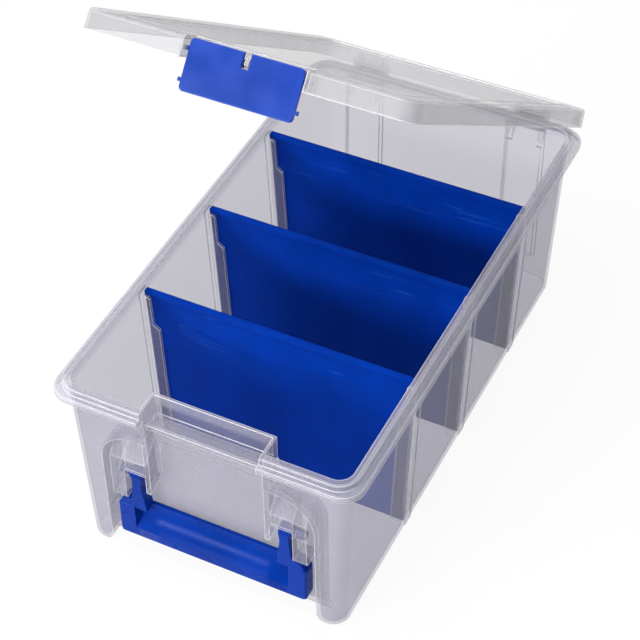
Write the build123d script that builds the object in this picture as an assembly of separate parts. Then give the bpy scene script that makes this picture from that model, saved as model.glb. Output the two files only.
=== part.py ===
from build123d import *
import math
import os

# A deep clear storage box with a hinged lid, a snap latch, a carrying handle
# and three lift-out dividers. Millimetres, +Z up, X across, Y along the box.
# The front, with the latch and the handle, faces -Y. The lid is hinged at +Y.
# The origin is on the underside, at the middle of the tub.

# Tub walls: half sizes of the outer face at the floor and at the rim
FLOOR_HALF_X = 94.5
FLOOR_HALF_Y = 183.5
RIM_WALL_HALF_X = 100.5
RIM_WALL_HALF_Y = 186.0
TUB_HEIGHT = 146.0
TUB_WALL = 2.0
TUB_FLOOR = 2.4
CORNER_RADIUS = 12.0
FOOT_ROUND = 3.0

# Rim: a flat-topped lip over a wider shoulder, hollow underneath
RIM_TOP_WIDTH = 5.4
RIM_LIP_DROP = 4.8
RIM_SHOULDER = 4.1
RIM_DROP = 9.0
RIM_SHELL = 1.8
RIM_EDGE_BEVEL = 0.6

# Latch recess in the front rim and the handle bay under it
RECESS_HALF = 41.5
RECESS_BACK = 16.0
LEDGE_DROP = 15.8
LEDGE_THICK = 2.2
LEDGE_SHORT = 2.4
LEDGE_LIP = 1.4
BAY_HALF = 76.0
BAY_TOP = 113.0
BAY_CORNER = 26.0
BAY_FOOT = 9.0
STEP_PROUD = 0.9
STEP_DROP = 42.0

# Divider slots on both side walls
DIVIDER_COUNT = 3
DIVIDER_PITCH = 91.0
DIVIDER_MIDDLE_Y = 8.0
DIVIDER_THICK = 1.8
SLOT_PLAY = 0.3
RIB_THICK = 2.2
RIB_NARROW = 4.5
RIB_WIDE = 9.0
RIB_STEP_Z = 108.0
RIB_TOP_GAP = 4.2
RIB_RAMP = 3.0
PILASTER_PROUD = 1.2
PILASTER_SIDE = 0.8

# Dividers
DIVIDER_BELOW_RIM = 6.0
DIVIDER_END_PLAY = 0.5
DIVIDER_FLOOR_PLAY = 0.3
BEAD_HEIGHT = 3.6
BEAD_THICK = 4.0
GRIP_ARC_RADIUS = 260.0
GRIP_ARC_DROP = 30.0
GRIP_ARC_WIDTH = 1.6
GRIP_ARC_DEPTH = 0.4
GRIP_ARC_HALF = 62.0

# Lid
LID_WALL = 1.8
LID_TOP = 2.0
LID_SKIRT = 13.0
LID_SEAT_GAP = 0.3
LID_PLAY = 0.35
LID_DRAFT = 0.8
LID_CORNER = 12.0
LID_EDGE_ROUND = 2.4
LID_PANEL_INSET = 15.0
LID_PANEL_SINK = 0.9
LID_RECESS_PLAY = 3.0
LID_OPEN_DEG = 36.2

# Lid hinge: two stations with a moulded pin each
HINGE_X = 64.0
HINGE_BEHIND = 5.0
HINGE_Z_DROP = 4.5
PIN_RADIUS = 2.2
PIN_PLAY = 0.06
EAR_RADIUS = 4.8
KNUCKLE_RADIUS = 4.4
KNUCKLE_HALF = 9.0
EAR_THICK = 3.6
EAR_GAP = 0.4
SNAP_SLOT = 3.2
STATION_HALF = 15.0
STATION_JOG = 2.0
STATION_FOOT = 16.0
GUSSET_DROP = 14.0

# Latch
LATCH_SIDE_GAP = 5.5
LATCH_HEIGHT = 31.0
LATCH_THICK = 2.0
LATCH_TOP_GAP = 0.8
LATCH_PIVOT_DROP = 6.6
LATCH_PIVOT_BACK = 2.4
LATCH_SET_BACK = 5.6
LATCH_SWING_ROOM = 7.4
LATCH_CORNER = 3.0
LATCH_REST_DEG = 3.5
LATCH_HOOK = 0.8
HOOK_HEIGHT = 3.2
HOOK_HALF = 30.0
HOOK_GAP = 0.4
STUB_RADIUS = 1.2
STUB_PLAY = 0.06
STUB_END_GAP = 0.4
NUB_REACH = 2.0
NUB_HEIGHT = 2.4
NUB_FRACTION = 0.8
NOTCH_HALF = 2.4
NOTCH_BELOW = 1.6
LUG_HALF = 1.2
LUG_BAR_HALF = 6.2
BOSS_WIDTH = 4.2
BOSS_WALL = 1.3

# Handle and its brackets on the front wall
HANDLE_HALF = 69.0
HANDLE_PIVOT_Z = 74.5
HANDLE_PIVOT_FROM_WALL = 7.5
GRIP_BOTTOM_Z = 16.0
GRIP_HEIGHT = 30.0
GRIP_DEPTH = 11.0
GRIP_FRONT = 6.0
GRIP_SCOOP_RADIUS = 34.0
GRIP_TOP_THICK = 3.6
GRIP_END = 12.5
ARM_INNER = 49.5
ARM_WIDTH = 7.5
ARM_DEPTH = 9.0
ARM_SET_BACK = 0.8
ARM_FLARE = 65.0
ARM_NOTCH_RADIUS = 6.5
KNOB_RADIUS = 4.9
TRUNNION_RADIUS = 3.2
TRUNNION_PLAY = 0.08
TRUNNION_END_GAP = 0.5
HANDLE_CORNER = 3.0
HANDLE_BEVEL = 1.2
INNER_EAR_OUTSIDE = 44.8
INNER_EAR_THICK = 3.6
INNER_EAR_BOTTOM = 66.0
INNER_EAR_RISE = 7.0
OUTER_BOSS_GAP = 3.6
OUTER_BOSS_WIDTH = 10.0
OUTER_BOSS_BELOW = 21.5
OUTER_BOSS_ABOVE = 17.0
TRUNNION_REACH = 6.5
HOOD_LIP_ABOVE = 6.6
HOOD_FACE = 11.0
HOOD_SLOPE = 15.0
HOOD_SHELL = 1.8

os.makedirs("parts", exist_ok=True)

# Values worked out from the driving dimensions
RIM_TOP_X = RIM_WALL_HALF_X - TUB_WALL + RIM_TOP_WIDTH
RIM_TOP_Y = RIM_WALL_HALF_Y - TUB_WALL + RIM_TOP_WIDTH
RIM_X = RIM_TOP_X + RIM_SHOULDER
RIM_Y = RIM_TOP_Y + RIM_SHOULDER
SHOULDER_Z = TUB_HEIGHT - RIM_LIP_DROP
WALL_Y = -(RIM_WALL_HALF_Y - RECESS_BACK)
LEDGE_Y = WALL_Y - RECESS_BACK + LEDGE_SHORT
LEDGE_TOP = TUB_HEIGHT - LEDGE_DROP
LEDGE_UNDER = LEDGE_TOP - LEDGE_THICK

LID_SEAT_Z = SHOULDER_Z + LID_SEAT_GAP
SEAT_OUT = LID_PLAY + LID_WALL
LID_X = RIM_TOP_X + SEAT_OUT
LID_Y = RIM_TOP_Y + SEAT_OUT
LID_TOP_Z = LID_SEAT_Z + LID_SKIRT
LID_RECESS_HALF = RECESS_HALF - LID_RECESS_PLAY
LATCH_HALF = RECESS_HALF - LATCH_SIDE_GAP

HINGE_Y = RIM_Y + HINGE_BEHIND
HINGE_Z = TUB_HEIGHT - HINGE_Z_DROP

LATCH_TOP_Z = LID_TOP_Z - LATCH_TOP_GAP
LATCH_Y = -(LID_Y - LATCH_SET_BACK)
LATCH_PIVOT_Z = LATCH_TOP_Z - LATCH_PIVOT_DROP
LATCH_BOTTOM_Z = LATCH_TOP_Z - LATCH_HEIGHT
LATCH_PIVOT_Y = LATCH_Y + LATCH_PIVOT_BACK
LID_RECESS_Y = LATCH_PIVOT_Y + LATCH_SWING_ROOM

HANDLE_Y = WALL_Y - HANDLE_PIVOT_FROM_WALL
GRIP_TOP_Z = GRIP_BOTTOM_Z + GRIP_HEIGHT
GRIP_FRONT_Y = HANDLE_Y - GRIP_FRONT
BRACKET_Y = -(FLOOR_HALF_Y + (RIM_WALL_HALF_Y - FLOOR_HALF_Y) * HANDLE_PIVOT_Z / TUB_HEIGHT)
ARM_OUTER = ARM_INNER + ARM_WIDTH
BOSS_INSIDE = ARM_OUTER + OUTER_BOSS_GAP
DIVIDER_TOP_Z = TUB_HEIGHT - DIVIDER_BELOW_RIM
RIB_TOP_Z = DIVIDER_TOP_Z - RIB_TOP_GAP
SLOT_WIDTH = DIVIDER_THICK + 2 * SLOT_PLAY


def wall_half_x(z):
    """Half width of the tub's outer face at a height."""
    return FLOOR_HALF_X + (RIM_WALL_HALF_X - FLOOR_HALF_X) * z / TUB_HEIGHT


def wall_half_y(z):
    """Half length of the tub's outer face at a height."""
    return FLOOR_HALF_Y + (RIM_WALL_HALF_Y - FLOOR_HALF_Y) * z / TUB_HEIGHT


def divider_places():
    """The Y of each divider."""
    first = DIVIDER_MIDDLE_Y - DIVIDER_PITCH * (DIVIDER_COUNT - 1) / 2
    return [first + DIVIDER_PITCH * i for i in range(DIVIDER_COUNT)]


def box(x0, x1, y0, y1, z0, z1):
    """A block between two corners."""
    middle = ((x0 + x1) / 2, (y0 + y1) / 2, (z0 + z1) / 2)
    return Pos(*middle) * Box(abs(x1 - x0), abs(y1 - y0), abs(z1 - z0))


def tray(half_x0, half_y0, z0, half_x1, half_y1, z1, radius):
    """A solid with rounded corners that widens evenly from z0 to z1."""
    low = Pos(0, 0, z0) * RectangleRounded(2 * half_x0, 2 * half_y0, radius)
    high = Pos(0, 0, z1) * RectangleRounded(2 * half_x1, 2 * half_y1, radius)
    return loft([low, high], ruled=True)


def slab(half_x, half_y, z0, z1, radius, shrink=0):
    """A solid with rounded corners whose sides lean in by a small amount from z0 to z1."""
    face = Pos(0, 0, z0) * RectangleRounded(2 * half_x, 2 * half_y, radius)
    lean = math.degrees(math.atan(shrink / (z1 - z0)))
    return extrude(face, amount=z1 - z0, taper=lean)


def prism_x(points, x0, x1):
    """A solid with a profile of (y, z) points, from x0 to x1."""
    face = Plane.YZ * make_face(Polyline(*points, close=True))
    return Pos(x0, 0, 0) * extrude(face, amount=x1 - x0)


def prism_y(points, y0, y1):
    """A solid with a profile of (x, z) points, from y0 to y1."""
    face = Plane.XZ * make_face(Polyline(*points, close=True))
    return Pos(0, y1, 0) * extrude(face, amount=y1 - y0)


def rod(x0, x1, y, z, radius):
    """A round bar along X."""
    return Pos((x0 + x1) / 2, y, z) * Rot(0, 90, 0) * Cylinder(radius, abs(x1 - x0))


def both_sides(solid):
    """A solid and its mirror image across the middle of the box."""
    return solid + mirror(solid, Plane.YZ)


def tub_body():
    """The walls and the rim as one full block, before hollowing."""
    walls = tray(FLOOR_HALF_X, FLOOR_HALF_Y, 0, RIM_WALL_HALF_X, RIM_WALL_HALF_Y, TUB_HEIGHT,
                 CORNER_RADIUS)
    walls = fillet(walls.faces().sort_by(Axis.Z)[0].edges(), FOOT_ROUND)
    corner = CORNER_RADIUS + RIM_TOP_WIDTH - TUB_WALL
    return walls + (rim_block(0, corner) - rim_hollow(corner))


def rim_block(shell, corner):
    """The lip and shoulder of the rim, full, or moved inwards by a wall thickness."""
    low = TUB_HEIGHT - RIM_DROP
    shoulder = slab(RIM_X - shell, RIM_Y - shell, low, SHOULDER_Z - shell, corner - shell)
    lip = slab(RIM_TOP_X - shell, RIM_TOP_Y - shell, low, TUB_HEIGHT - shell, corner - shell)
    if shell == 0:
        lip = chamfer(lip.faces().sort_by(Axis.Z)[-1].edges(), RIM_EDGE_BEVEL)
        shoulder = chamfer(shoulder.faces().sort_by(Axis.Z)[-1].edges(), RIM_EDGE_BEVEL)
    return shoulder + lip


def rim_hollow(corner):
    """The space under the rim, closed beside the latch recess."""
    keep = box(-RECESS_HALF - RIM_SHELL, RECESS_HALF + RIM_SHELL, -RIM_Y - 5, WALL_Y,
               TUB_HEIGHT - RIM_DROP - 1, TUB_HEIGHT)
    return rim_block(RIM_SHELL, corner) - keep


def side_pilasters():
    """A shallow upright on the outside of the side walls at each divider slot."""
    half = SLOT_WIDTH / 2 + RIB_THICK + PILASTER_SIDE
    top = TUB_HEIGHT - RIM_DROP + 1
    out = None
    for y in divider_places():
        profile = [
            (wall_half_x(FOOT_ROUND) - 1, FOOT_ROUND),
            (wall_half_x(FOOT_ROUND) + PILASTER_PROUD * 0.6, FOOT_ROUND),
            (wall_half_x(FOOT_ROUND + 4) + PILASTER_PROUD, FOOT_ROUND + 4),
            (wall_half_x(top) + PILASTER_PROUD, top),
            (wall_half_x(top) - 1, top),
        ]
        one = prism_y(profile, y - half, y + half)
        out = one if out is None else out + one
    return both_sides(out)


def hinge_jog(outward, half, foot):
    """The step in the back wall behind each hinge station."""
    profile = [
        (wall_half_y(foot) - 6, foot),
        (wall_half_y(foot) + outward, foot + 3),
        (wall_half_y(TUB_HEIGHT - RIM_DROP) + outward, TUB_HEIGHT - RIM_DROP + 1),
        (wall_half_y(TUB_HEIGHT - RIM_DROP) - 6, TUB_HEIGHT - RIM_DROP + 1),
    ]
    return both_sides(prism_x(profile, HINGE_X - half, HINGE_X + half))


def front_hollows(grow, top_z):
    """What the front wall gives up: the handle bay and the latch recess."""
    far = -RIM_Y - 20
    back = WALL_Y + grow
    half = BAY_HALF + grow
    top = BAY_TOP + grow
    radius = BAY_CORNER + grow
    foot = BAY_FOOT - grow
    wide = BAY_HALF + BAY_FOOT
    low = -20
    lines = [
        Line((-half, top - radius), (-half, BAY_FOOT)),
        RadiusArc((-half, BAY_FOOT), (-wide, grow), foot),
        Polyline((-wide, grow), (-wide, low), (wide, low), (wide, grow)),
        RadiusArc((wide, grow), (half, BAY_FOOT), foot),
        Line((half, BAY_FOOT), (half, top - radius)),
        RadiusArc((half, top - radius), (half - radius, top), -radius),
        Line((half - radius, top), (-half + radius, top)),
        RadiusArc((-half + radius, top), (-half, top - radius), -radius),
    ]
    face = Plane.XZ * make_face(lines)
    bay = Pos(0, back, 0) * extrude(face, amount=back - far)
    centre = box(-RECESS_HALF - grow, RECESS_HALF + grow, far, back, BAY_TOP - BAY_CORNER, top_z)
    return bay + centre


def tub_cavity():
    """The inside of the tub as a solid to take away."""
    wall = TUB_WALL
    inside = tray(wall_half_x(TUB_FLOOR) - wall, wall_half_y(TUB_FLOOR) - wall, TUB_FLOOR,
                  wall_half_x(TUB_HEIGHT + 1) - wall, wall_half_y(TUB_HEIGHT + 1) - wall,
                  TUB_HEIGHT + 1, CORNER_RADIUS - wall)
    inside = inside - front_hollows(wall, TUB_HEIGHT + 10)
    return inside + hinge_jog(STATION_JOG - wall, STATION_HALF - wall, STATION_FOOT + wall)


def slot_ribs():
    """The stepped ribs that hold the ends of each divider."""
    def inner(z):
        return wall_half_x(z) - TUB_WALL

    step = RIB_STEP_Z
    profile = [
        (inner(TUB_FLOOR) + 1, TUB_FLOOR - 1),
        (inner(TUB_FLOOR) - RIB_WIDE, TUB_FLOOR - 1),
        (inner(step) - RIB_WIDE, step),
        (inner(step) - RIB_NARROW, step + RIB_RAMP),
        (inner(RIB_TOP_Z) - RIB_NARROW, RIB_TOP_Z - RIB_RAMP / 2),
        (inner(RIB_TOP_Z) - RIB_NARROW + RIB_RAMP / 2, RIB_TOP_Z),
        (inner(RIB_TOP_Z) + 1, RIB_TOP_Z),
    ]
    out = None
    for y in divider_places():
        for side in (-1, 1):
            near = y + side * SLOT_WIDTH / 2
            far = near + side * RIB_THICK
            one = prism_y(profile, min(near, far), max(near, far))
            out = one if out is None else out + one
    return both_sides(out)


def front_steps():
    """The low lip along the latch ledge and the stepped band on the wall under it."""
    lip = box(-RECESS_HALF, RECESS_HALF, LEDGE_Y, LEDGE_Y + LEDGE_THICK,
              LEDGE_TOP - 0.2, LEDGE_TOP + LEDGE_LIP)
    half = INNER_EAR_OUTSIDE - INNER_EAR_THICK / 2
    band = box(-half, half, WALL_Y - STEP_PROUD, WALL_Y + 0.5,
               TUB_HEIGHT - STEP_DROP, LEDGE_UNDER + 0.2)
    return lip + band


def handle_brackets():
    """The inner ear, the hood and the bearing boss of each handle bracket."""
    inner_in = INNER_EAR_OUTSIDE - INNER_EAR_THICK
    ear = prism_x([
        (WALL_Y + 1, INNER_EAR_BOTTOM + INNER_EAR_RISE),
        (BRACKET_Y + 4, INNER_EAR_BOTTOM + INNER_EAR_RISE * 0.4),
        (BRACKET_Y, INNER_EAR_BOTTOM),
        (BRACKET_Y, LEDGE_UNDER - 8),
        (LEDGE_Y, LEDGE_UNDER + 0.2),
        (WALL_Y + 1, LEDGE_UNDER + 0.2),
    ], inner_in, INNER_EAR_OUTSIDE)
    lip = HANDLE_PIVOT_Z + HOOD_LIP_ABOVE
    hood = prism_x([
        (BRACKET_Y, lip),
        (BRACKET_Y, lip + HOOD_FACE),
        (WALL_Y + 1, lip + HOOD_FACE + HOOD_SLOPE),
        (WALL_Y + 1, lip + HOOD_FACE + HOOD_SLOPE - 2 * HOOD_SHELL),
        (BRACKET_Y + HOOD_SHELL, lip + HOOD_FACE - HOOD_SHELL),
        (BRACKET_Y + HOOD_SHELL, lip),
    ], INNER_EAR_OUTSIDE - 0.5, BOSS_INSIDE + 0.5)
    low = HANDLE_PIVOT_Z - OUTER_BOSS_BELOW
    high = HANDLE_PIVOT_Z + OUTER_BOSS_ABOVE
    boss = prism_x([
        (WALL_Y + 1, low + 3),
        (BRACKET_Y + 2, low),
        (BRACKET_Y, low + 2),
        (BRACKET_Y, high),
        (WALL_Y + 1, high + HOOD_SLOPE),
    ], BOSS_INSIDE, BOSS_INSIDE + OUTER_BOSS_WIDTH)
    bore = rod(BOSS_INSIDE - 1, BOSS_INSIDE + TRUNNION_REACH, HANDLE_Y, HANDLE_PIVOT_Z,
               TRUNNION_RADIUS + TRUNNION_PLAY)
    return both_sides(ear + hood + (boss - bore))


def hinge_ears():
    """The ears and the moulded pin of each lid hinge station."""
    gap = KNUCKLE_HALF + EAR_GAP
    foot = [
        (RIM_Y - RIM_SHELL, HINGE_Z - 5),
        (HINGE_Y - EAR_RADIUS * 0.7, HINGE_Z),
        (HINGE_Y + EAR_RADIUS * 0.98, HINGE_Z - 1),
        (RIM_WALL_HALF_Y - 1, HINGE_Z - EAR_RADIUS - GUSSET_DROP),
        (RIM_WALL_HALF_Y - 1, HINGE_Z - 5),
    ]
    out = None
    for side in (-1, 1):
        near = HINGE_X + side * gap
        far = near + side * EAR_THICK
        x0 = min(near, far)
        x1 = max(near, far)
        one = prism_x(foot, x0, x1) + rod(x0, x1, HINGE_Y, HINGE_Z, EAR_RADIUS)
        out = one if out is None else out + one
    pin = rod(HINGE_X - gap - 0.5, HINGE_X + gap + 0.5, HINGE_Y, HINGE_Z, PIN_RADIUS)
    return both_sides(out + pin)


def make_tub():
    """The clear tub as one moulding."""
    body = tub_body() + side_pilasters() + hinge_jog(STATION_JOG, STATION_HALF, STATION_FOOT)
    hollows = front_hollows(0, LEDGE_UNDER)
    far = -RIM_Y - 20
    recess = box(-RECESS_HALF, RECESS_HALF, far, WALL_Y, LEDGE_TOP, TUB_HEIGHT + 10)
    trim = box(-RECESS_HALF, RECESS_HALF, far, LEDGE_Y, LEDGE_UNDER - 1, LEDGE_TOP + 1)
    body = body - hollows - recess - trim - tub_cavity()
    return body + slot_ribs() + front_steps() + handle_brackets() + hinge_ears()


def lid_shell():
    """The lid's skirt and top as a tray turned over, in its closed place."""
    wall = LID_WALL
    outer = slab(LID_X, LID_Y, LID_SEAT_Z, LID_TOP_Z, LID_CORNER, LID_DRAFT)
    outer = fillet(outer.faces().sort_by(Axis.Z)[-1].edges(), LID_EDGE_ROUND)
    panel_x = LID_X - LID_PANEL_INSET
    panel_y = LID_Y - LID_PANEL_INSET
    front = LID_RECESS_Y + LID_PANEL_INSET / 2
    middle = (front + panel_y) / 2
    length = panel_y - front
    sunk = Pos(0, middle, LID_TOP_Z - LID_PANEL_SINK / 2) * extrude(
        RectangleRounded(2 * panel_x, length, LID_CORNER / 2), amount=LID_PANEL_SINK / 2, both=True)
    under = LID_TOP_Z - LID_TOP
    inside = slab(LID_X - wall, LID_Y - wall, LID_SEAT_Z - 1, under, LID_CORNER - wall, LID_DRAFT)
    backing = Pos(0, middle, under - LID_PANEL_SINK / 2) * extrude(
        RectangleRounded(2 * panel_x + 3, length + 3, LID_CORNER / 2 + 1.5),
        amount=LID_PANEL_SINK / 2, both=True)
    far = -LID_Y - 20
    notch = box(-LID_RECESS_HALF, LID_RECESS_HALF, far, LID_RECESS_Y,
                LID_SEAT_Z - 5, LID_TOP_Z + 5)
    notch_wall = box(-LID_RECESS_HALF - wall, LID_RECESS_HALF + wall, far, LID_RECESS_Y + wall,
                     LID_SEAT_Z - 5, LID_TOP_Z + 5)
    return (outer - notch - sunk) - (inside - notch_wall - backing)


def lid_knuckles():
    """The snap-on knuckles that turn on the tub's hinge pins."""
    arm = prism_x([
        (LID_Y - LID_DRAFT - 1.0, LID_TOP_Z - LID_EDGE_ROUND),
        (LID_Y - LID_WALL / 2, LID_SEAT_Z + 3.5),
        (HINGE_Y - KNUCKLE_RADIUS * 0.75, HINGE_Z + KNUCKLE_RADIUS * 0.5),
        (HINGE_Y, HINGE_Z + 1.5),
        (HINGE_Y + KNUCKLE_RADIUS * 0.9, HINGE_Z + KNUCKLE_RADIUS * 0.42),
    ], HINGE_X - KNUCKLE_HALF, HINGE_X + KNUCKLE_HALF)
    ring = rod(HINGE_X - KNUCKLE_HALF, HINGE_X + KNUCKLE_HALF, HINGE_Y, HINGE_Z, KNUCKLE_RADIUS)
    bore = rod(HINGE_X - KNUCKLE_HALF - 1, HINGE_X + KNUCKLE_HALF + 1, HINGE_Y, HINGE_Z,
               PIN_RADIUS + PIN_PLAY)
    slot = box(HINGE_X - KNUCKLE_HALF - 1, HINGE_X + KNUCKLE_HALF + 1,
               HINGE_Y - SNAP_SLOT / 2, HINGE_Y + SNAP_SLOT / 2, HINGE_Z - 10, HINGE_Z)
    return both_sides((ring + arm) - bore - slot)


def latch_lug():
    """The lug in the middle of the lid's recess, with its cross bar."""
    lug = prism_x([
        (LID_RECESS_Y + 0.5, LATCH_TOP_Z - 1),
        (LATCH_PIVOT_Y, LATCH_TOP_Z - 2.0),
        (LATCH_Y, LATCH_PIVOT_Z + STUB_RADIUS),
        (LATCH_Y, LATCH_PIVOT_Z - STUB_RADIUS / 2),
        (LATCH_PIVOT_Y, LATCH_PIVOT_Z - STUB_RADIUS),
        (LID_RECESS_Y + 0.5, LID_SEAT_Z + 1),
    ], -LUG_HALF, LUG_HALF)
    return lug + rod(-LUG_BAR_HALF, LUG_BAR_HALF, LATCH_PIVOT_Y, LATCH_PIVOT_Z, STUB_RADIUS)


def open_lid(solid, degrees):
    """Turn a solid about the lid's hinge, away from closed."""
    return Pos(0, HINGE_Y, HINGE_Z) * Rot(-degrees, 0, 0) * Pos(0, -HINGE_Y, -HINGE_Z) * solid


def make_lid():
    """The clear lid, at its resting angle."""
    cheek_bore = both_sides(rod(LID_RECESS_HALF - 1, LID_RECESS_HALF + LID_WALL + 1,
                                LATCH_PIVOT_Y, LATCH_PIVOT_Z, STUB_RADIUS + STUB_PLAY))
    closed = (lid_shell() - cheek_bore) + lid_knuckles() + latch_lug()
    return open_lid(closed, LID_OPEN_DEG)


def make_latch():
    """The blue latch plate with its stubs, hook and notch."""
    half_thick = LATCH_THICK / 2
    middle_z = (LATCH_TOP_Z + LATCH_BOTTOM_Z) / 2
    face = Plane.XZ * RectangleRounded(2 * LATCH_HALF, LATCH_HEIGHT, LATCH_CORNER)
    plate = Pos(0, LATCH_Y, middle_z) * extrude(face, amount=half_thick, both=True)
    hook_top = LEDGE_UNDER - HOOK_GAP
    hook_back = LEDGE_Y + LATCH_HOOK
    hook = prism_x([
        (LATCH_Y, hook_top - HOOK_HEIGHT),
        (hook_back - 1, hook_top - HOOK_HEIGHT),
        (hook_back, hook_top - HOOK_HEIGHT * 0.5),
        (hook_back, hook_top),
        (LATCH_Y, hook_top),
    ], -HOOK_HALF, HOOK_HALF)
    reach = STUB_RADIUS + BOSS_WALL
    bosses = None
    for x in (NOTCH_HALF, LATCH_HALF - BOSS_WIDTH):
        one = prism_x([
            (LATCH_Y, LATCH_PIVOT_Z - reach),
            (LATCH_Y, LATCH_PIVOT_Z + reach),
            (LATCH_PIVOT_Y + reach * 0.5, LATCH_PIVOT_Z + reach),
            (LATCH_PIVOT_Y + reach, LATCH_PIVOT_Z + reach * 0.5),
            (LATCH_PIVOT_Y + reach, LATCH_PIVOT_Z - reach * 0.5),
            (LATCH_PIVOT_Y + reach * 0.5, LATCH_PIVOT_Z - reach),
        ], x, x + BOSS_WIDTH)
        bosses = one if bosses is None else bosses + one
    bosses = both_sides(bosses)
    stubs = both_sides(rod(LATCH_HALF - 1, LID_RECESS_HALF + LID_WALL - STUB_END_GAP,
                           LATCH_PIVOT_Y, LATCH_PIVOT_Z, STUB_RADIUS))
    nub_z = LATCH_TOP_Z - LATCH_HEIGHT * NUB_FRACTION
    nubs = both_sides(box(LATCH_HALF - 1, LATCH_HALF + NUB_REACH, LATCH_Y - half_thick,
                          LATCH_Y + half_thick, nub_z - NUB_HEIGHT / 2, nub_z + NUB_HEIGHT / 2))
    notch = box(-NOTCH_HALF, NOTCH_HALF, LATCH_Y - 10, LATCH_Y + 10,
                LATCH_PIVOT_Z - STUB_RADIUS - NOTCH_BELOW, LATCH_TOP_Z + 5)
    bar_bore = rod(-LUG_BAR_HALF - STUB_END_GAP, LUG_BAR_HALF + STUB_END_GAP, LATCH_PIVOT_Y,
                   LATCH_PIVOT_Z, STUB_RADIUS + STUB_PLAY)
    closed = plate + hook + bosses + stubs + nubs - notch - bar_bore
    turned = Pos(0, LATCH_PIVOT_Y, LATCH_PIVOT_Z) * Rot(-LATCH_REST_DEG, 0, 0)
    turned = turned * Pos(0, -LATCH_PIVOT_Y, -LATCH_PIVOT_Z) * closed
    return open_lid(turned, LID_OPEN_DEG)


def handle_arm():
    """One arm of the handle, with its knob, throat and trunnion, on the +X side."""
    notch_z = HANDLE_PIVOT_Z - KNOB_RADIUS - ARM_NOTCH_RADIUS * 0.55
    flare_z = GRIP_TOP_Z + 4
    profile = [
        (ARM_INNER, HANDLE_PIVOT_Z),
        (ARM_INNER + 0.8, notch_z),
        (ARM_INNER - 2, GRIP_TOP_Z - 2),
        (ARM_FLARE + 3, GRIP_TOP_Z - 2),
        (ARM_FLARE, flare_z),
        (ARM_OUTER + 1.5, flare_z + 2.5),
        (ARM_OUTER, notch_z),
        (ARM_OUTER, HANDLE_PIVOT_Z),
    ]
    front = GRIP_FRONT_Y + ARM_SET_BACK
    arm = prism_y(profile, front, front + ARM_DEPTH)
    knob = rod(ARM_INNER, ARM_OUTER + 1.2, HANDLE_Y, HANDLE_PIVOT_Z, KNOB_RADIUS)
    trunnion = rod(ARM_OUTER, BOSS_INSIDE + TRUNNION_REACH - TRUNNION_END_GAP, HANDLE_Y,
                   HANDLE_PIVOT_Z, TRUNNION_RADIUS)
    return arm + knob + trunnion


def make_handle():
    """The blue handle: a scooped grip bar between two arms."""
    y0 = GRIP_FRONT_Y
    y1 = GRIP_FRONT_Y + GRIP_DEPTH
    grip = box(-HANDLE_HALF, HANDLE_HALF, y0, y1, GRIP_BOTTOM_Z, GRIP_TOP_Z)
    grip = fillet(grip.edges().filter_by(Axis.Y), HANDLE_CORNER)
    grip = chamfer(grip.edges().filter_by(Axis.X), HANDLE_BEVEL)
    scoop_y = y1 - GRIP_TOP_THICK - GRIP_SCOOP_RADIUS
    scoop = rod(-HANDLE_HALF + GRIP_END, HANDLE_HALF - GRIP_END, scoop_y, GRIP_TOP_Z,
                GRIP_SCOOP_RADIUS)
    return (grip - scoop) + both_sides(handle_arm())


def make_divider(y):
    """One blue divider plate with its thick top bead and grip arc."""
    def half_at(z):
        return wall_half_x(z) - TUB_WALL - DIVIDER_END_PLAY

    low = TUB_FLOOR + DIVIDER_FLOOR_PLAY
    high = DIVIDER_TOP_Z
    t = DIVIDER_THICK / 2
    plate = prism_y([
        (-half_at(low), low),
        (half_at(low), low),
        (half_at(high), high),
        (-half_at(high), high),
    ], y - t, y + t)
    under = high - BEAD_HEIGHT
    bead = prism_y([
        (-half_at(under), under),
        (half_at(under), under),
        (half_at(high), high),
        (-half_at(high), high),
    ], y - BEAD_THICK / 2, y + BEAD_THICK / 2)
    arc_z = high - GRIP_ARC_DROP + GRIP_ARC_RADIUS
    ring = Plane.XZ * (Circle(GRIP_ARC_RADIUS) - Circle(GRIP_ARC_RADIUS - GRIP_ARC_WIDTH))
    groove = Pos(0, y - t + GRIP_ARC_DEPTH, arc_z) * extrude(ring, amount=GRIP_ARC_DEPTH + 1)
    window = box(-GRIP_ARC_HALF, GRIP_ARC_HALF, y - 5, y + 5, high - GRIP_ARC_DROP - 5, high - 8)
    return plate + bead - (groove & window)


def write(name, solid):
    """Export one piece."""
    solid.label = name
    export_step(solid, "parts/" + name + ".step")


write("tub", make_tub())
write("lid", make_lid())
write("latch", make_latch())
write("handle", make_handle())
for number, place in enumerate(divider_places(), start=1):
    write("divider_" + str(number), make_divider(place))
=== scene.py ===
import math

import bpy
from mathutils import Matrix, Vector


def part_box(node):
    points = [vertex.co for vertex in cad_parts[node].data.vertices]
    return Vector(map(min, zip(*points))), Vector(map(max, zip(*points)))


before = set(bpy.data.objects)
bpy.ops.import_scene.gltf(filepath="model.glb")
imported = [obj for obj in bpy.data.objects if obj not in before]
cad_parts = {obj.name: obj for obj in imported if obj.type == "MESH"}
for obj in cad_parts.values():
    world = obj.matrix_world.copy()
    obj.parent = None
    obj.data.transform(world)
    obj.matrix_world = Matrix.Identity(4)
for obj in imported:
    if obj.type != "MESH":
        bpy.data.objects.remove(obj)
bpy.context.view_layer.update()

scene = bpy.context.scene
scene.view_settings.view_transform = "Standard"

# Camera: angles in degrees, places in metres, and the photograph's framing in pixels
AZIMUTH = 29.04
ELEVATION = 43.32
ROLL = -2.42
DISTANCE = 1.38252
TARGET = (-0.05177, -0.01108, 0.09638)
FOCAL = 1995.18
CENTRE = (259.22, 289.83)
FRAME_SIZE = 640
SENSOR = 36.0
CLIP = (0.01, 50)

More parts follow.
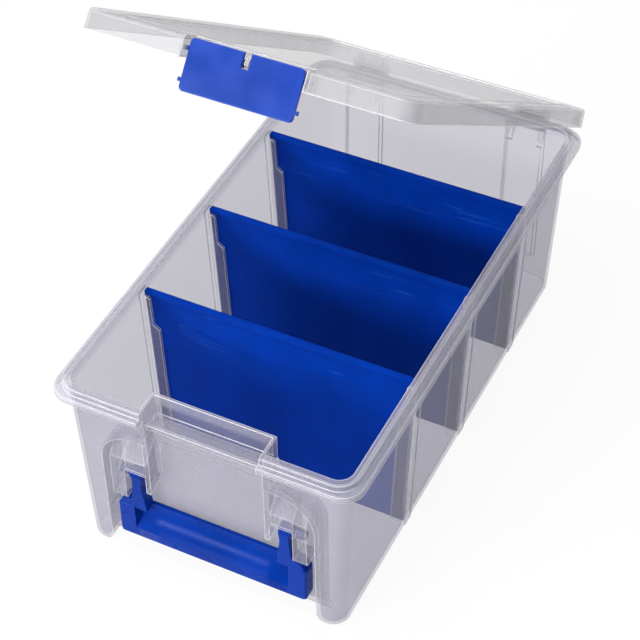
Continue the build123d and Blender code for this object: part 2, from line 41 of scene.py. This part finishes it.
# Places on the pieces and the widths over which looks change there, in metres
RIM_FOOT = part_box("tub")[1].z - 0.010
RIM_FADE = 0.003
HANDLE_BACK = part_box("handle")[1].y
FRONT_FADE = 0.004
GRIP_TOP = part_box("handle")[0].z + 0.030
SCOOP_HEIGHT = 0.0212
SCOOP_HALF = 0.0565
SCOOP_FADE = 0.018
STREAK_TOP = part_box("divider_1")[1].z
STREAK_FULL = 0.020
STREAK_NONE = 0.050

# Moulded edges: how far their shading is rounded, in metres
CLEAR_ROUND = 0.0012
BLUE_ROUND = 0.0009
ROUND_SAMPLES = 8

# Clear plastic
# Painted highlight: the near-white colour mixed in along the sharp edges of the clear plastic
PAINTED_HIGHLIGHT_COLOUR = (0.97, 0.97, 1.0)
CLOUD_DEPTH = 0.94
FRONT_SHARE = 0.5
FRESNEL_POWER = 5.0
LOW_ANGLE_GLOSS = 0.9
STRAIGHT_GLOSS = 0.06

# Blue plastic
BLUE_DEPTH = 0.86
BLUE_LIFT = 1.10
BLUE_SPECULAR = (0.50, 0.60, 1.0)
STREAK_COLOUR = (0.02, 0.12, 0.60)
STREAK_SHARE = 0.35
SCOOP_CURVE = 15.0

# Studio
FLOOR_SIZE = 8.0
FLOOR_DROP = 0.0002
FLOOR_WHITE = 0.92
WORLD_LIGHT = 0.18
LAMP_AIM = (0, 0, 0.12)

# Places of the two colours and of the result on a Mix node set to colour
MIX_FIRST = 6
MIX_SECOND = 7
MIX_RESULT = 2


def make_camera():
    """The camera at the photograph's viewing angle."""
    a = math.radians(AZIMUTH)
    e = math.radians(ELEVATION)
    r = math.radians(ROLL)
    back = Vector((math.sin(a) * math.cos(e), -math.cos(a) * math.cos(e), math.sin(e)))
    level_right = (-back).cross(Vector((0, 0, 1))).normalized()
    level_up = level_right.cross(-back)
    right = math.cos(r) * level_right + math.sin(r) * level_up
    up = -math.sin(r) * level_right + math.cos(r) * level_up
    data = bpy.data.cameras.new("camera")
    data.sensor_width = SENSOR
    data.lens = FOCAL * SENSOR / FRAME_SIZE
    data.shift_x = (FRAME_SIZE / 2 - CENTRE[0]) / FRAME_SIZE
    data.shift_y = (CENTRE[1] - FRAME_SIZE / 2) / FRAME_SIZE
    data.clip_start, data.clip_end = CLIP
    camera = bpy.data.objects.new("camera", data)
    scene.collection.objects.link(camera)
    axes = Matrix((right, up, back)).transposed().to_4x4()
    camera.matrix_world = Matrix.Translation(Vector(TARGET) + back * DISTANCE) @ axes
    scene.camera = camera


def new_material(name):
    """A blank node material with its tree and output."""
    material = bpy.data.materials.new(name)
    material.use_nodes = True
    tree = material.node_tree
    tree.nodes.clear()
    output = tree.nodes.new("ShaderNodeOutputMaterial")
    return material, tree, output


def node(tree, kind, **values):
    """A node with some of its sockets and settings filled in."""
    made = tree.nodes.new("ShaderNode" + kind)
    for key, value in values.items():
        if key in made.inputs:
            made.inputs[key].default_value = value
        else:
            setattr(made, key, value)
    return made


def math_node(tree, operation, a, b):
    """The result of a sum on two values or sockets."""
    made = node(tree, "Math", operation=operation)
    for socket, value in zip(made.inputs, (a, b)):
        if isinstance(value, (int, float)):
            socket.default_value = value
        else:
            tree.links.new(value, socket)
    return made.outputs[0]


def clamped(tree, value):
    """A value held between 0 and 1."""
    made = node(tree, "Clamp")
    tree.links.new(value, made.inputs["Value"])
    return made.outputs[0]


def between(tree, value, start, end):
    """0 before the start and 1 past the end, which may lie either way."""
    made = node(tree, "MapRange", interpolation_type="SMOOTHSTEP")
    tree.links.new(value, made.inputs["Value"])
    made.inputs["From Min"].default_value = start
    made.inputs["From Max"].default_value = end
    return made.outputs["Result"]


def along(tree, axis):
    """The place along one axis, in metres."""
    split = node(tree, "SeparateXYZ")
    tree.links.new(node(tree, "TexCoord").outputs["Object"], split.inputs[0])
    return split.outputs[axis]


def noise(tree, scale, detail, stretch=(1, 1, 1)):
    """Noise in the object's own metres."""
    place = node(tree, "TexCoord").outputs["Object"]
    mapping = node(tree, "Mapping", Scale=stretch)
    tree.links.new(place, mapping.inputs["Vector"])
    made = node(tree, "TexNoise", Scale=scale, Detail=detail)
    tree.links.new(mapping.outputs["Vector"], made.inputs["Vector"])
    return made.outputs["Fac"]


def ramp(tree, source, low, high):
    """A change from one grey or colour at 0.3 to another at 0.7."""
    made = node(tree, "ValToRGB")
    for element, place, value in zip(made.color_ramp.elements, (0.3, 0.7), (low, high)):
        element.position = place
        colour = (value,) * 3 if isinstance(value, float) else value
        element.color = (*colour, 1)
    tree.links.new(source, made.inputs["Fac"])
    return made.outputs["Color"]


def mix_colours(tree, share, first, second):
    """A share of one plain colour over another that varies."""
    made = node(tree, "Mix", data_type="RGBA")
    tree.links.new(share, made.inputs["Factor"])
    tree.links.new(first, made.inputs[MIX_FIRST])
    made.inputs[MIX_SECOND].default_value = (*second, 1)
    return made.outputs[MIX_RESULT]


def mix_shaders(tree, share, first, second):
    """A share of the second shader over the first."""
    made = node(tree, "MixShader")
    tree.links.new(share, made.inputs[0])
    tree.links.new(first, made.inputs[1])
    tree.links.new(second, made.inputs[2])
    return made.outputs[0]


def bump(tree, height, strength, distance, normal):
    """A bump from a height socket, over the normal given."""
    made = node(tree, "Bump", Strength=strength, Distance=distance)
    tree.links.new(height, made.inputs["Height"])
    tree.links.new(normal, made.inputs["Normal"])
    return made.outputs["Normal"]


def rounded_normal(tree, radius):
    """The surface normal with the sharp edges rounded off, as on a moulded part."""
    return node(tree, "Bevel", samples=ROUND_SAMPLES, Radius=radius).outputs["Normal"]


def edge_mask(tree, rounded, gain):
    """1 along sharp edges, which catch the light in moulded plastic, and 0 on flat faces."""
    true_normal = node(tree, "NewGeometry").outputs["Normal"]
    dot = node(tree, "VectorMath", operation="DOT_PRODUCT")
    tree.links.new(rounded, dot.inputs[0])
    tree.links.new(true_normal, dot.inputs[1])
    bent = math_node(tree, "SUBTRACT", 1.0, dot.outputs["Value"])
    return clamped(tree, math_node(tree, "MULTIPLY", bent, gain))


def thick_places(tree):
    """1 on the tub's rim, a half on the front mouldings before the handle, and 0 elsewhere."""
    rim = between(tree, along(tree, "Z"), RIM_FOOT, RIM_FOOT + RIM_FADE)
    front = between(tree, along(tree, "Y"), HANDLE_BACK + FRONT_FADE, HANDLE_BACK - FRONT_FADE)
    return math_node(tree, "MAXIMUM", rim, math_node(tree, "MULTIPLY", front, FRONT_SHARE))


def clear_plastic(name, haze, edge_highlight_share, edge_gain, thick_haze, gloss, colour, tint):
    """Milky see-through plastic: a thin haze, a painted highlight along sharp edges (near-white
    colour and more of the milk there), and gloss that grows at low angles.
    """
    material, tree, output = new_material(name)
    rounded = rounded_normal(tree, CLEAR_ROUND)
    edges = edge_mask(tree, rounded, edge_gain)
    cloudy = noise(tree, scale=26.0, detail=3.0)
    body = ramp(tree, cloudy, tuple(c * CLOUD_DEPTH for c in colour), colour)
    milk = node(tree, "BsdfPrincipled", Roughness=0.35, IOR=1.49)
    # Painted highlight: near-white colour mixed into the base colour along sharp edges
    tree.links.new(mix_colours(tree, edges, body, PAINTED_HIGHLIGHT_COLOUR), milk.inputs["Base Color"])
    tree.links.new(rounded, milk.inputs["Normal"])
    clear = node(tree, "BsdfTransparent", Color=(*tint, 1))
    # Painted highlight: more of the pale milk along sharp edges, so that they show as white lines
    highlight_line = math_node(tree, "MULTIPLY", edges, edge_highlight_share)
    thick = math_node(tree, "MULTIPLY", thick_places(tree), thick_haze)
    milk_and_highlight = math_node(tree, "MAXIMUM", highlight_line, thick)
    share = clamped(tree, math_node(tree, "ADD", milk_and_highlight, haze))
    seen = mix_shaders(tree, share, clear.outputs[0], milk.outputs[0])
    facing = node(tree, "LayerWeight", Blend=0.5).outputs["Facing"]
    rise = math_node(tree, "POWER", facing, FRESNEL_POWER)
    rise = math_node(tree, "MULTIPLY", rise, LOW_ANGLE_GLOSS)
    shine = math_node(tree, "MULTIPLY", math_node(tree, "ADD", rise, STRAIGHT_GLOSS), gloss)
    mirror = node(tree, "BsdfGlossy", Roughness=0.22)
    tree.links.new(rounded, mirror.inputs["Normal"])
    surface = mix_shaders(tree, shine, seen, mirror.outputs[0])
    tree.links.new(surface, output.inputs["Surface"])
    return material


def flow_streaks(tree, colour):
    """Thin pale flow marks across the upper part of a divider, over its colour."""
    lines = noise(tree, scale=16.0, detail=3.0, stretch=(1, 1, 16))
    lines = between(tree, lines, 0.60, 0.68)
    patches = between(tree, noise(tree, scale=22.0, detail=1.0), 0.48, 0.58)
    upper = between(tree, along(tree, "Z"), STREAK_TOP - STREAK_NONE, STREAK_TOP - STREAK_FULL)
    marks = math_node(tree, "MULTIPLY", math_node(tree, "MULTIPLY", lines, patches), upper)
    share = math_node(tree, "MULTIPLY", marks, STREAK_SHARE)
    return mix_colours(tree, share, colour, STREAK_COLOUR)


def scoop_height(tree):
    """A height for a bump that deepens the curve of the grip's finger scoop."""
    drop = math_node(tree, "SUBTRACT", GRIP_TOP, along(tree, "Z"))
    held = math_node(tree, "MINIMUM", math_node(tree, "MAXIMUM", drop, 0.0), SCOOP_HEIGHT)
    curve = math_node(tree, "MULTIPLY", math_node(tree, "POWER", held, 2.0), SCOOP_CURVE)
    aside = math_node(tree, "ABSOLUTE", along(tree, "X"), 0.0)
    inside = between(tree, aside, SCOOP_HALF, SCOOP_HALF - SCOOP_FADE)
    return math_node(tree, "MULTIPLY", curve, inside)


def blue_plastic(name, colour, roughness, index, waves, streaks=False, scoop=False):
    """Solid coloured plastic with a fine moulded grain and slow waves in its gloss."""
    material, tree, output = new_material(name)
    shader = node(tree, "BsdfPrincipled", IOR=index)
    shader.inputs["Specular IOR Level"].default_value = 1.0
    shader.inputs["Specular Tint"].default_value = (*BLUE_SPECULAR, 1)
    cloudy = noise(tree, scale=30.0, detail=3.0)
    low = tuple(c * BLUE_DEPTH for c in colour)
    high = tuple(min(1.0, c * BLUE_LIFT) for c in colour)
    shade = ramp(tree, cloudy, low, high)
    if streaks:
        shade = flow_streaks(tree, shade)
    tree.links.new(shade, shader.inputs["Base Color"])
    patches = noise(tree, scale=60.0, detail=2.0)
    patchy = ramp(tree, patches, roughness - 0.04, roughness + 0.05)
    tree.links.new(patchy, shader.inputs["Roughness"])
    grain = noise(tree, scale=1400.0, detail=2.0)
    normal = bump(tree, grain, 0.06, 0.0003, rounded_normal(tree, BLUE_ROUND))
    normal = bump(tree, noise(tree, scale=14.0, detail=2.0), waves, 0.004, normal)
    if scoop:
        normal = bump(tree, scoop_height(tree), 1.0, 1.0, normal)
    tree.links.new(normal, shader.inputs["Normal"])
    tree.links.new(shader.outputs[0], output.inputs["Surface"])
    return material


def paint(name, material):
    """Give a CAD node one material on all its slots."""
    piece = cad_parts[name]
    piece.data.materials.clear()
    piece.data.materials.append(material)


def seen_directly(tree):
    """1 for camera, mirror and glass rays, and 0 for the light that falls on things."""
    path = node(tree, "LightPath")
    both = math_node(tree, "MAXIMUM", path.outputs["Is Camera Ray"], path.outputs["Is Glossy Ray"])
    return math_node(tree, "MAXIMUM", both, path.outputs["Is Transmission Ray"])


def make_floor():
    """A plain pale floor that keeps a soft shadow."""
    bpy.ops.mesh.primitive_plane_add(size=FLOOR_SIZE, location=(0, 0, -FLOOR_DROP))
    floor = bpy.context.object
    floor.name = "floor"
    material, tree, output = new_material("floor_white")
    matt = node(tree, "BsdfDiffuse", Color=(0.90, 0.90, 0.90, 1))
    glow = node(tree, "Emission", Color=(1, 1, 1, 1), Strength=1.0)
    share = math_node(tree, "MULTIPLY", seen_directly(tree), FLOOR_WHITE)
    surface = mix_shaders(tree, share, matt.outputs[0], glow.outputs[0])
    tree.links.new(surface, output.inputs["Surface"])
    floor.data.materials.append(material)


def make_world():
    """Even studio light, with a white background where it is seen."""
    world = bpy.data.worlds.new("studio")
    scene.world = world
    world.use_nodes = True
    tree = world.node_tree
    tree.nodes.clear()
    output = tree.nodes.new("ShaderNodeOutputWorld")
    light = node(tree, "Background", Color=(0.96, 0.97, 1.0, 1), Strength=WORLD_LIGHT)
    white = node(tree, "Background", Color=(1, 1, 1, 1), Strength=1.0)
    surface = mix_shaders(tree, seen_directly(tree), light.outputs[0], white.outputs[0])
    tree.links.new(surface, output.inputs["Surface"])


def make_lamp(name, place, size, power):
    """A soft box that points at the middle of the object."""
    data = bpy.data.lights.new(name, "AREA")
    data.shape = "RECTANGLE"
    data.size, data.size_y = size
    data.energy = power
    lamp = bpy.data.objects.new(name, data)
    scene.collection.objects.link(lamp)
    lamp.location = place
    lamp.rotation_mode = "QUATERNION"
    lamp.rotation_quaternion = (Vector(place) - Vector(LAMP_AIM)).to_track_quat("Z", "Y")


make_camera()
make_floor()
make_world()
make_lamp("top_lamp", place=(-0.4, -0.5, 2.0), size=(1.4, 1.4), power=34)
make_lamp("front_lamp", place=(-1.0, -1.9, 1.0), size=(0.8, 0.6), power=34)
make_lamp("side_lamp", place=(1.93, -0.83, 0.35), size=(0.20, 0.55), power=5)
make_lamp("back_lamp", place=(0.3, 1.8, 1.5), size=(1.2, 0.6), power=12)

# The edge haze and edge gain set the painted highlight along the sharp edges
paint("tub", clear_plastic(
    "clear_shell", haze=0.12, edge_highlight_share=0.62, edge_gain=10, thick_haze=0.13, gloss=0.14,
    colour=(0.74, 0.73, 0.82), tint=(0.83, 0.825, 0.85)))
paint("lid", clear_plastic(
    "clear_lid", haze=0.30, edge_highlight_share=0.45, edge_gain=12, thick_haze=0.0, gloss=0.12,
    colour=(0.58, 0.57, 0.59), tint=(0.90, 0.895, 0.90)))
paint("latch", blue_plastic(
    "latch_blue", colour=(0.002, 0.036, 0.32), roughness=0.22, index=1.32, waves=0.30))
paint("handle", blue_plastic(
    "handle_blue", colour=(0.0005, 0.032, 0.30), roughness=0.27, index=1.13, waves=0.0,
    scoop=True))
divider_blue = blue_plastic(
    "divider_blue", colour=(0.0003, 0.036, 0.36), roughness=0.40, index=1.08, waves=0.10,
    streaks=True)
for number in (1, 2, 3):
    paint("divider_" + str(number), divider_blue)
